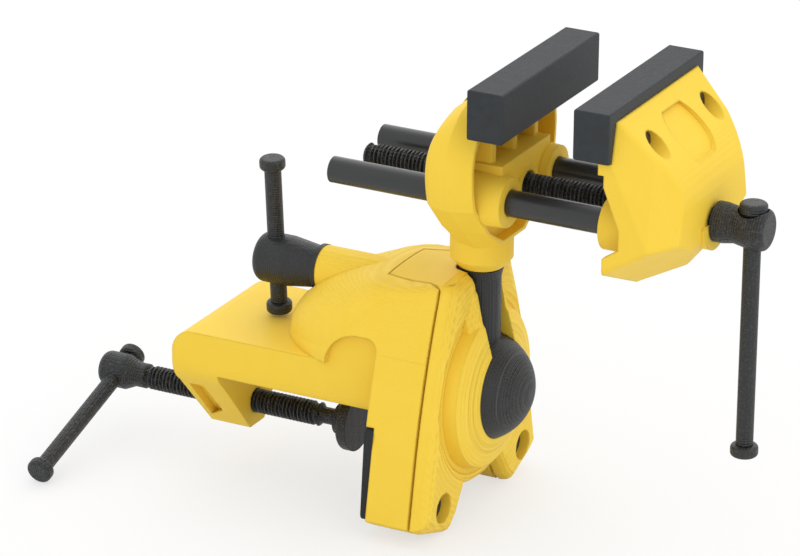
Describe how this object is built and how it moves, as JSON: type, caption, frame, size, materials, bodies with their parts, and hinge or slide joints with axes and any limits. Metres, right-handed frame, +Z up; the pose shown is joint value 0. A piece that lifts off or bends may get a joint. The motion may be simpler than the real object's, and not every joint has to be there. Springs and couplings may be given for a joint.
{
  "type": "bench vise",
  "caption": "Clamp-on bench vise with a ball joint: yellow split socket housing and jaws, black rubber-faced pads, twin guide rods and three T-bar screws.",
  "frame": {"origin": "where the clamp screw's axis meets the bench pad's gripping face", "axes": "+X away from the bench edge along the jaw screw, +Y across the jaws, +Z up"},
  "size_m": [0.2581, 0.1025, 0.1686],
  "materials": {
    "yellow_moulding": "satin yellow moulding with fine layer lines",
    "black_moulding": "matte near-black jaw cover",
    "blackened_steel": "blackened steel, dull",
    "pad_rubber": "matte rubber",
    "bright_steel": "zinc-plated steel"
  },
  "bodies": {
    "clamp": {"clamp_frame": "yellow_moulding", "front_housing": "yellow_moulding", "bench_pad": "pad_rubber", "housing_screws": "blackened_steel", "housing_nuts": "bright_steel", "lock_nut": "bright_steel"},
    "lock_feed_body": {"lock_washer": "blackened_steel"},
    "lock_screw_body": {"lock_screw": "blackened_steel"},
    "lock_bar_body": {"lock_bar": "blackened_steel", "lock_bar_knobs": "blackened_steel"},
    "clamp_pad_body": {"clamp_pad": "blackened_steel"},
    "clamp_screw_body": {"clamp_screw": "blackened_steel"},
    "clamp_bar_body": {"clamp_bar": "blackened_steel", "clamp_bar_knobs": "blackened_steel"},
    "ball_stud_body": {"ball_stud": "blackened_steel"},
    "head": {"fixed_jaw": "yellow_moulding", "fixed_jaw_pad": "black_moulding", "fixed_pad_screws": "blackened_steel", "main_nut": "bright_steel"},
    "slide": {"moving_jaw": "yellow_moulding", "moving_jaw_pad": "black_moulding", "moving_pad_screws": "blackened_steel", "guide_rod_near": "blackened_steel", "guide_rod_far": "blackened_steel", "rod_pins": "bright_steel", "thrust_washer": "bright_steel"},
    "main_screw_body": {"main_screw": "blackened_steel", "screw_clip": "bright_steel"},
    "main_bar_body": {"main_bar": "blackened_steel", "main_bar_knobs": "blackened_steel"}
  },
  "joints": [
    {"name": "lock_feed", "type": "slide", "parent": "clamp", "child": "lock_feed_body", "axis": [1, 0, 0], "range_m": [-0.00046, 0]},
    {"name": "lock_spin", "type": "hinge", "parent": "lock_feed_body", "child": "lock_screw_body", "pos_m": [-0.0556, 0, 0.0562], "axis": [1, 0, 0], "range_deg": [-112, 1]},
    {"name": "lock_bar_slide", "type": "slide", "parent": "lock_screw_body", "child": "lock_bar_body", "axis": [0, -0.0865, 0.9963], "range_m": [0, 0.005]},
    {"name": "clamp_travel", "type": "slide", "parent": "clamp", "child": "clamp_pad_body", "axis": [1, 0, 0], "range_m": [-0.0315, 0.0225]},
    {"name": "clamp_spin", "type": "hinge", "parent": "clamp_pad_body", "child": "clamp_screw_body", "pos_m": [-0.1207, 0, 0], "axis": [1, 0, 0], "range_deg": [-7562, 5402]},
    {"name": "clamp_bar_slide", "type": "slide", "parent": "clamp_screw_body", "child": "clamp_bar_body", "axis": [0, 0.9529, 0.3032], "range_m": [0, 0.047]},
    {"name": "head_tilt", "type": "hinge", "parent": "clamp", "child": "ball_stud_body", "pos_m": [0.0247, 0, 0.0243], "axis": [0, 1, 0], "range_deg": [0, 90]},
    {"name": "head_turn", "type": "hinge", "parent": "ball_stud_body", "child": "head", "pos_m": [0.0247, 0, 0.0243], "axis": [0, 0, 1], "range_deg": [-135, 135]},
    {"name": "jaw_travel", "type": "slide", "parent": "head", "child": "slide", "axis": [1, 0, 0], "range_m": [-0.0255, 0.0375]},
    {"name": "main_spin", "type": "hinge", "parent": "slide", "child": "main_screw_body", "pos_m": [0.1247, 0, 0.1014], "axis": [1, 0, 0], "range_deg": [-6122, 9002]},
    {"name": "main_bar_slide", "type": "slide", "parent": "main_screw_body", "child": "main_bar_body", "axis": [0, 0, 1], "range_m": [0, 0.068]}
  ],
  "couplings": [
    {"joint": "lock_spin", "follows": "lock_feed", "rad_per_m": 4188.8},
    {"joint": "clamp_spin", "follows": "clamp_travel", "rad_per_m": 4188.8},
    {"joint": "main_spin", "follows": "jaw_travel", "rad_per_m": 4188.8}
  ]
}
